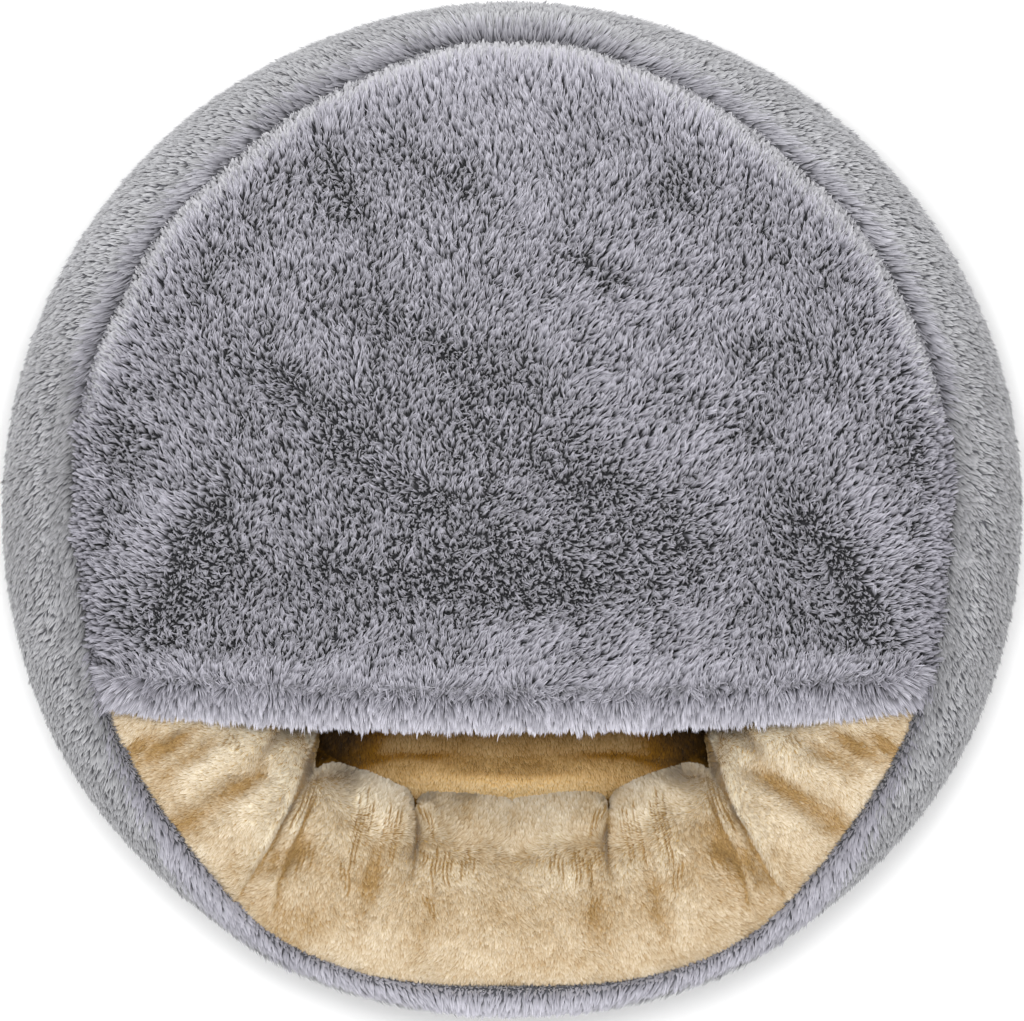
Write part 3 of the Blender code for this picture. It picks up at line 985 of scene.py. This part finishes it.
# Light and dark patches of the hood, in mm as its soft folds, with lightness in place of height. The
# pile lies flatter where it is light and stands up where it is dark.
HOOD_PATCHES = (
    (47, 70, -36, 90, 17, 0.20),
    (-40, 88, -28, 55, 16, -0.30),
    (-97, 45, -42, 75, 19, -0.29),
    (55, 8, -30, 70, 20, -0.31),
    (60, -30, 0, 60, 20, -0.21),
    (-20, -42, 0, 80, 22, -0.18),
    (128, 45, -30, 30, 10, -0.32),
    (92, 100, -20, 18, 9, -0.25),
    (142, 95, 60, 18, 10, -0.20),
    (160, 20, -30, 40, 12, 0.16),
    (-199, -40, 64, 55, 24, -0.46),
    (199, -40, 116, 55, 24, -0.46),
    (-225, 42, 20, 22, 12, -0.20),
    (225, 42, -20, 22, 12, -0.20),
    (-236, 0, 90, 45, 13, -0.18),
    (236, 0, 90, 45, 13, -0.18),
    (-100, 185, -60, 30, 12, -0.42),
    (-42, 195, -20, 30, 10, -0.40),
    (40, 140, -30, 30, 10, -0.36),
    (12, 165, -45, 20, 7, 0.30),
    (95, 185, 60, 30, 13, -0.32),
    (-150, -12, 0, 25, 22, 0.14),
    (-30, 40, -20, 70, 45, -0.16),
    (0, -78, 0, 150, 14, 0.17),
    (0, -82, 0, 30, 10, 0.10),
    (-100, -100, 45, 20, 12, 0.16),
    (100, -100, 135, 20, 12, 0.16),
)

# How far to the right of straight back the pile is combed: x, degrees.
HOOD_TURN = (
    (-0.250, -42), (-0.200, -26), (-0.165, 4), (-0.140, 14), (-0.100, 5), (-0.050, 15), (0.000, 28),
    (0.050, 42), (0.100, 42), (0.130, 8), (0.155, -12), (0.175, -2), (0.200, 26), (0.250, 42),
)

# Lines that the pile leans away from, in mm: middle x and y, heading in degrees, half-length, reach,
# strength.
HOOD_PARTINGS = (
    (-193, -30, 64, 50, 16, 0.34),
    (193, -30, 116, 50, 16, 0.34),
    (-128, 76, 130, 22, 10, 0.26),
    (131, 78, 60, 20, 10, 0.24),
    (-60, 20, 150, 30, 10, 0.16),
)


def hood_comb(flat, rng):
    """How the hood's pile is combed: lean to +X and +Y as shares of its length, and lightness."""
    x, y = flat.T
    degrees, to_edge, behind_hem = on_hood(flat)
    side = np.abs(degrees)
    at_edge, rim = fading(0, 32 * MM, to_edge), fading(2 * MM, 10 * MM, to_edge)
    at_hem = fading(0, 26 * MM, behind_hem - STITCH_DEPTH)
    at_side = fading(98, 118, side)
    light = folds(HOOD_PATCHES, x, y) + 0.30 * smooth(0.17, 0.25, y)
    turn = np.interp(x, *np.array(HOOD_TURN).T) * fading(0.13, 0.20, y)
    turn *= 1 + 0.9 * smooth(-0.02, 0.07, -y) * smooth(0.17, 0.20, np.abs(x))
    turn = np.radians(turn) + math.radians(20) * drift(flat, 24 * MM, rng)
    strength = np.clip(0.33 + 0.74 * light, 0.06, 0.82) + 0.14 * at_edge * (1 - 0.7 * at_side)
    strength *= 1 - 0.45 * rim
    lean = bearing(turn) * strength[:, None]
    outward = flat / np.hypot(x, y)[:, None]
    lean += outward * (0.10 * at_edge + 0.10 * at_side * rim)[:, None]
    # Beside the hem the pile fans out both ways, and everywhere it is a little loose.
    swirl = math.radians(80) * drift(flat, 18 * MM, rng)
    lean += bearing(swirl) * (0.42 * at_hem)[:, None]
    lean += np.stack([drift(flat, 13 * MM, rng), drift(flat, 13 * MM, rng)], axis=1) * 0.10
    for middle_x, middle_y, heading, half_length, reach, pull in HOOD_PARTINGS:
        along, across = from_middle(x, y, middle_x, middle_y, heading)
        across /= reach
        away = 1.6 * pull * across * np.exp(-(across**2) / 2) * hump(along, half_length)
        lean += away[:, None] * bearing(-math.radians(heading))
    # Strands that stand up are a little paler. The rim is pale behind, darker at the sides and
    # darkest at the ends of the hem.
    shade = 0.74 - 0.20 * np.clip(light, -0.35, 0.2) - 0.04 * at_hem - 0.05 * at_edge
    shade += 0.15 * rim - (0.24 * rim + 0.16 * at_edge + 0.08 * at_hem) * at_side
    shade -= 0.30 * at_edge * fading(72, 90, side)
    return lean, shade + 0.03 * drift(flat, 18 * MM, rng)


def hood_pile(cloth, finishes):
    """The hood's pile in three pieces, side by side, and the clipped pile along its seam."""
    rng = np.random.default_rng(11)

    def density(middle, facing):
        degrees, to_edge, behind_hem = on_hood(middle)
        shown = (facing[:, 2] > 0.12) | ((facing[:, 2] > -0.4) & (to_edge < 1.5 * MM))
        clipped = smooth(98, 112, np.abs(degrees))
        more = (0.5 + 0.8 * clipped) * fading(3 * MM, 11 * MM, to_edge)
        more += 0.55 * np.clip(folds(HOOD_PATCHES, middle[:, 0], middle[:, 1]), -0.3, 0.1)
        more += 0.14 * smooth(0.17, 0.25, middle[:, 1])
        return 0.89e6 * (1 + more) * shown * (behind_hem > STITCH_DEPTH - 1 * MM)

    at, up = scattered(cloth, density, rng)
    flat = at[:, :2]
    lean, shade = hood_comb(flat, rng)
    degrees, to_edge, _ = on_hood(at)
    near, rim = fading(0, 16 * MM, to_edge), fading(1 * MM, 10 * MM, to_edge)
    # Beside the mouth the edge is shaggy, with tufts. Behind it is clipped short.
    shaggy = fading(98, 116, np.abs(degrees))
    tufts = np.clip(1.4 * drift(flat, 11 * MM, rng), 0, 1) * shaggy
    length = 12.5 * MM - (near * (6.5 - 5.5 * tufts) + 2.2 * rim * (1 - shaggy)) * MM
    up[:, :2] *= 1 - 0.75 * near[:, None]
    up[:, 2] += 0.8 * near
    up /= np.linalg.norm(up, axis=1)[:, None]
    strands = (at, up, *flat_axes(up), flat, lean, length, np.full(len(at), 0.95 * MM), shade)
    pale = (to_edge < (3 + 11 * rng.random(len(at))) * MM) & (shaggy < rng.random(len(at)))
    part = np.where(pale, -1, np.digitize(degrees % 360, (150, 210)))
    names = ("hood_pile_right", "hood_pile_back", "hood_pile_left")
    made = piles(names, part, strands, finishes["hood_plush"], "hood", rng)
    return made + [pile("hood_rim", pale, strands, finishes["rim_plush"], "rim", rng)]


def hem_pile(cloth, finishes):
    """The hem's pile: it hangs straight forward, with uneven ends."""
    rng = np.random.default_rng(12)
    hem_band = STITCH_DEPTH + 9 * MM

    def density(middle, facing):
        inside = on_hood(middle)[2]
        fewer = 1 - 0.6 * smooth(STITCH_DEPTH, hem_band, inside)
        return 2.2e6 * fewer * (facing[:, 2] > -0.5) * (inside < hem_band)

    at, up = scattered(cloth, density, rng)
    flat, from_middle = at[:, :2], np.abs(at[:, 0])
    sway = 0.22 * drift(flat, 12 * MM, rng) + 0.12 * drift(flat, 4 * MM, rng)
    inside = on_hood(at)[2]
    back = smooth(8 * MM, 20 * MM, inside)
    sway += 0.5 * back * drift(flat, 7 * MM, rng)
    sway += 0.75 * smooth(0.180, 0.238, from_middle) * np.sign(at[:, 0])
    lean = np.stack([sway, -0.90 + 0.75 * back], axis=1)
    length = 8.5 * MM + 4 * MM * smooth(0, 6 * MM, inside)
    shade = 0.52 + 0.08 * drift(flat, 10 * MM, rng) - 0.06 * back
    shade += 0.14 * back * hump(from_middle - 0.160, 0.035)
    shade -= 0.34 * smooth(0.180, 0.235, from_middle)
    strands = (at, up, *flat_axes(up), flat, lean, length, np.full(len(at), 0.85 * MM), shade)
    return piles(("hem_pile",), np.zeros(len(at)), strands, finishes["hood_plush"], "hem", rng)


def outer_pile(cover, finishes):
    """The ring's pile: it lies flat, combed outwards and towards the front. Beside the velvet it
    stands out of the seam."""
    rng = np.random.default_rng(13)

    def density(middle, facing):
        degrees, radius = direction(middle)
        upper = middle[:, 2] > ROLL_HEIGHT
        from_seam = radius - table_at(SEAM, degrees)
        skin = ~upper | (from_seam > 0.5 * MM)
        outward = (facing[:, :2] * middle[:, :2]).sum(1) / np.maximum(radius, 1e-9)
        in_front = (np.abs(degrees) < 68) & upper & (from_seam > -1 * MM)
        shown = in_front | (skin & (outward + facing[:, 2] > 0.05) & (facing[:, 2] > -0.9))
        more = (0.3 + 0.4 * in_front) * fading(4 * MM, 10 * MM, from_seam)
        more += 1.6 * in_front * fading(1.5 * MM, 3.5 * MM, from_seam)
        above = smooth(-30 * MM, -5 * MM, middle[:, 2] - BULGE_HEIGHT)
        return shown * (0.10e6 + 0.52e6 * above) * (1 + more * upper)

    at, up = scattered(cover, density, rng)
    degrees, radius = direction(at)
    side, upper, above = np.abs(degrees), at[:, 2] > ROLL_HEIGHT, at[:, 2] - BULGE_HEIGHT
    from_seam = radius - table_at(SEAM, degrees)
    around, away = ring_axes(at, up)
    section = np.arctan2(above, radius - SECTION_MIDDLE)
    chart = np.stack([np.radians(degrees) * SKIN_RADIUS, -section * SECTION_RADIUS], axis=1)
    turn = math.radians(45) * smooth(2, 14, side) * smooth(2, 10, 180 - side)
    turn = -np.sign(degrees) * turn + math.radians(14) * drift(chart, 18 * MM, rng)
    ahead, behind = fading(62, 72, side), smooth(92, 112, side)
    low, high = fading(-30 * MM, -5 * MM, above), smooth(20 * MM, 45 * MM, above)
    at_seam = fading(1 * MM, 6 * MM, from_seam) * upper
    share = 0.93 - 0.03 * high - (0.20 + 0.28 * ahead) * at_seam
    lean = share[:, None] * bearing(turn)
    # Short in the first rows beside the velvet. Behind, it is long where it rolls in to the
    # hood's seam, and tucked in where the seam turns.
    first = ahead * fading(1 * MM, 4 * MM, from_seam) * upper
    rolled = behind * upper * fading(9 * MM, 15 * MM, from_seam)
    beyond = smooth(11 * MM, 18 * MM, from_seam) * (1 - low)
    tucked = rolled * hump(side - 139, 14) * fading(2 * MM, 5 * MM, from_seam)
    length = (8.5 + 5.0 * low - 1.5 * at_seam * (1 - behind) - 3 * first + 3.5 * rolled) * MM
    length -= (3.0 * beyond + 6.5 * tucked) * MM
    width = (1.15 + 1.9 * low - 0.15 * beyond) * MM
    # The groove is pale in front, and painted dark behind as the shade in it. Elsewhere the pile
    # is darker between front and side, and paler behind and towards the outside.
    shade = 0.47 + 0.08 * drift(chart, 25 * MM, rng)
    in_groove = fading(3 * MM, 8 * MM, from_seam) * upper
    shade += (0.14 - 0.38 * smooth(30, 60, side)) * in_groove
    shade += 0.22 * smooth(106, 128, side) + 0.08 * smooth(150, 172, side)
    shade += 0.05 * hump(degrees, 12)
    for middle, half_width, darker in ((24, 11, 0.15), (32, 16, 0.10), (46, 16, 0.16), (82, 28, 0.16)):
        shade -= darker * hump(side - middle, half_width)
    shade += 0.15 * beyond + 0.14 * tucked
    # Scattered dark strands are painted shade in the gaps between clumps, more of them outside.
    shade -= 0.65 * (rng.random(len(at)) < 0.05 + 0.13 * beyond)
    # Painted light along the ring's outer edge, most of all behind.
    shade += (0.06 + 0.26 * smooth(70, 120, side)) * smooth(0.276, 0.298, radius) * (at[:, 2] > 0.05)
    strands = (at, up, around, away, chart, lean, length, width, shade)
    reach = 19 * MM * fading(28, 64, side)
    beside = upper & (from_seam < reach + 8 * MM * rng.random(len(at))) & (ahead > 0)
    roll = upper & (from_seam < 13 * MM * behind - 6 * MM * rng.random(len(at)))
    part = np.where(beside | roll, -1, np.digitize(degrees, (-90, 0, 90)))
    names = ("outer_pile_rear_left", "outer_pile_left", "outer_pile_right", "outer_pile_rear_right")
    made = piles(names, part, strands, finishes["ring_plush"], "ring", rng)
    made.append(pile("seam_pile", beside, strands, finishes["seam_plush"], "ring", rng))
    made.append(pile("roll_pile", roll, strands, finishes["roll_plush"], "ring", rng))
    return made


def wall_nap(cover, finishes):
    """The velvet's nap on the front of the ring, brushed outwards in patches."""
    rng = np.random.default_rng(14)

    def density(middle, facing):
        degrees, radius = direction(middle)
        ahead = hem_line(middle[:, 0], HEM_CLOTH_REACH) + 8 * MM - middle[:, 1]
        lowest = 45 - 12 * hump(np.abs(degrees) - 38.4, 5)
        shown = (ahead > 0) & (middle[:, 2] > lowest * MM)
        shown &= radius < table_at(SEAM, degrees) - 0.2 * MM
        return shown * (0.4e6 + 1.65e6 * smooth(-0.40, -0.10, facing[:, 2]))

    at, up = scattered(cover, density, rng)
    flat = at[:, :2]
    x, y = flat.T
    right = np.abs(x)
    radius = np.linalg.norm(flat, axis=1)
    degrees = direction(flat)[0]
    side = np.abs(degrees)
    # Painted highlight on the creases' upper edges, and painted shade in the tucks below them
    # and in the notch.
    edge = np.zeros_like(x)
    for rows, start in ((LOBE_EDGE, 0.0), (PLEAT_EDGE, 0.35)):
        signed, along = from_line(right, y, rows)
        beside = 0.48 * hump(signed - 2 * MM, 2.2 * MM) - 0.90 * hump(signed + 1.3 * MM, 1.6 * MM)
        edge += beside * (1 - 0.85 * along) * smooth(-0.01, start, along)
    signed, along = from_line(right, y, NOTCH)
    edge -= 0.9 * hump(signed, 1.7 * MM) * (1 - along) ** 0.6
    # The nap is brushed outwards, back to the mouth in the middle, and along the fine gathers.
    in_middle = fading(23, 42, side)
    wander = radius - table_at(MOUTH, degrees) + 6 * MM * drift(flat, 15 * MM, rng)
    deep, near, way = fine_gathers(x, y)
    out = flat / radius[:, None] * (1 - near)[:, None] + way * near[:, None]
    brushed = math.radians(45) * drift(flat, 24 * MM, rng)
    brushed += math.radians(20) * drift(flat, 8 * MM, rng)
    brushed *= (1 - 0.7 * np.clip(np.abs(edge) * 3, 0, 1)) * (1 - near)
    brushed -= math.pi * np.sign(x) * (in_middle * fading(10 * MM, 46 * MM, wander))
    cos, sin = np.cos(brushed), np.sin(brushed)
    lean = np.stack([out[:, 0] * cos - out[:, 1] * sin, out[:, 0] * sin + out[:, 1] * cos], axis=1)
    share = 0.91 - 0.35 * fading(0.10, 0.60, up[:, 2])
    lean *= (share / np.linalg.norm(lean, axis=1))[:, None]
    # The cloth stands up between fine gathers.
    at = at + up * (1.1 * MM * near * (1 - deep))[:, None]
    # Light and dark: soft patches, the lip, the lobe at each side, and the pleat beside it.
    lobe = smooth(-2 * MM, 4 * MM, from_line(right, y, LOBE_EDGE)[0])
    lip = fading(16 * MM, 34 * MM, wander)
    shade = 0.45 + 0.12 * drift(flat, 26 * MM, rng) + 0.09 * drift(flat, 9 * MM, rng)
    # Painted highlight on the cloth that stands up between fine gathers.
    shade += (0.01 * in_middle - 0.08) * lip + 0.18 * near * (1 - deep) + edge
    shade -= 0.16 * in_middle * hump(wander - 33 * MM, 6 * MM)
    # On the lobes, painted light along their lips.
    shade += (0.24 - 0.27 * smooth(0.212, 0.262, radius) + 0.36 * lip) * lobe
    pleat = (0.01 + 0.16 * lip) * smooth(19, 25, side) - 0.08 * smooth(0.212, 0.235, radius)
    pleat -= 0.12 * hump(side - 29, 6) * smooth(0.214, 0.230, radius)
    shade += pleat * (1 - lobe)
    in_corner = hump(side - 39, 4)
    # Painted shade low in the mouth, reaching higher in its corners.
    shade -= 0.50 * fading(50 * MM, 76 * MM, at[:, 2] - 10 * MM * in_corner)
    # Painted shade in the folds' troughs, in the fine gathers and where the creases sink in.
    shade += 0.40 * np.clip(folds(WALL_FOLDS, right, y) / 4, -1, 1)
    shade -= 1.15 * deep + 0.30 * np.clip(-crease_height(x, y) / (6 * MM), 0, 1)
    # Low in the mouth the nap is the shaded nap, as painted shade.
    sunken = at[:, 2] < (70 + 12 * in_corner) * MM
    shade = np.where(sunken, 0.25, shade)
    length, width = (3.0 - 0.9 * near) * MM, (0.95 - 0.25 * near) * MM
    strands = (at, up, *flat_axes(up), flat, lean, length, width, shade)
    part = np.where(sunken, -1, x >= 0)
    made = piles(("wall_nap_left", "wall_nap_right"), part, strands, finishes["nap"], "nap", rng)
    return made + [pile("sunken_nap", sunken, strands, finishes["deep_nap"], "nap", rng)]


def floor_nap(cushion, finishes):
    """The floor's nap where the mouth shows it, brushed towards the front."""
    rng = np.random.default_rng(15)

    def density(middle, facing):
        shown = (middle[:, 1] < -0.120) & (np.abs(middle[:, 0]) < 0.130)
        return 2.2e6 * shown * (facing[:, 2] > -0.3) * (middle[:, 2] > 24 * MM)

    at, up = scattered(cushion, density, rng)
    flat = at[:, :2]
    turn = math.radians(-90) + math.radians(28) * drift(flat, 16 * MM, rng)
    lean = 0.91 * np.stack([np.cos(turn), np.sin(turn)], axis=1)
    # Painted light on the fold along the front, and painted shade in the crease behind it, along
    # the front edge under the lip and towards the sides.
    side, back = np.abs(flat[:, 0]), flat[:, 1]
    fold_line = -0.1565 - 0.0015 * (1 - side / 0.040)
    lit = 0.76 + 0.06 * smooth(0.146, 0.152, -back) * fading(0.050, 0.075, side)
    lit += 0.20 * smooth(-0.004, 0.001, fold_line - back) * fading(0.022, 0.062, side)
    lit -= 0.10 * smooth(0.162, 0.168, -back)
    crease_line = -0.1430 - 0.16 * np.maximum(side - 0.064, 0)
    lit -= 0.30 * hump(back - crease_line, 0.0028) * smooth(0.020, 0.055, side)
    lit *= 1 - 0.92 * smooth(0.072, 0.108, side + 0.5 * (back + 0.150))
    lit += 0.05 * drift(flat, 14 * MM, rng) + 0.04 * drift(flat, 5 * MM, rng)
    # Where the painted light is low, the shaded deep nap is used: its light end is the floor nap's
    # dark end, so one shade runs over both.
    deep = lit < 0.5
    shade = np.where(deep, 2 * lit, 2 * lit - 1)
    every = np.ones(len(at))
    length, width = 3.0 * MM * every, 0.85 * MM * every
    strands = (at, up, *flat_axes(up), flat, lean, length, width, shade)
    return [
        pile("floor_nap", ~deep, strands, finishes["floor_nap"], "nap", rng),
        pile("deep_nap", deep, strands, finishes["deep_nap"], "nap", rng),
    ]


# Lights, camera and floor


def area_light(name, location, size, power):
    """A soft square light that looks at the bed."""
    data = bpy.data.lights.new(name, "AREA")
    data.size, data.energy = size, power
    lamp = bpy.data.objects.new(name, data)
    lamp.location = location
    lamp.rotation_euler = (
        math.atan2(-location[1], location[2]),
        math.atan2(location[0], math.hypot(location[1], location[2])),
        0,
    )
    bpy.context.scene.collection.objects.link(lamp)


def studio():
    """Pale floor, soft light from above and the camera straight over the bed."""
    floor = primitive("studio_floor", bpy.ops.mesh.primitive_plane_add, size=12)
    made, _, shader = material("studio floor, matt paint", 0.9)
    shader.inputs["Base Color"].default_value = linear("#fafafa")
    floor.data.materials.append(made)
    world = bpy.data.worlds.new("studio")
    world.use_nodes = True
    sky = world.node_tree.nodes["Background"]
    sky.inputs["Color"].default_value = (1, 1, 1, 1)
    sky.inputs["Strength"].default_value = 0.68
    bpy.context.scene.world = world
    area_light("overhead", (0.0, 0.28, 3.0), 0.8, 66)
    area_light("side", (-1.4, 0.9, 2.2), 0.8, 10)
    area_light("front", (0.3, -2.6, 2.0), 1.4, 34)
    bpy.context.scene.view_settings.view_transform = "Standard"
    lens, sensor, frame_width = 400, 36, 0.6021
    data = bpy.data.cameras.new("camera")
    data.lens, data.sensor_width, data.clip_end = lens, sensor, 100
    camera = bpy.data.objects.new("camera", data)
    camera.location = (0, 0, BULGE_HEIGHT + frame_width * lens / sensor)
    bpy.context.scene.collection.objects.link(camera)
    bpy.context.scene.camera = camera


def main():
    finishes = make_materials()
    base_cloth(finishes)
    ring_outside = outer_cover(finishes)
    ring_inside = inner_cover(finishes)
    cushion = floor_cushion(finishes)
    hood = hood_cloth(finishes)
    hood_pieces = hood_pile(hood, finishes) + hem_pile(hood, finishes)
    plush = hood_pieces + outer_pile(ring_outside, finishes)
    velvet = wall_nap(ring_inside, finishes) + floor_nap(cushion, finishes)
    for slot, pieces in (("plush", plush), ("velvet", velvet)):
        for piece in pieces:
            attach(piece, "root")
    studio()


main()
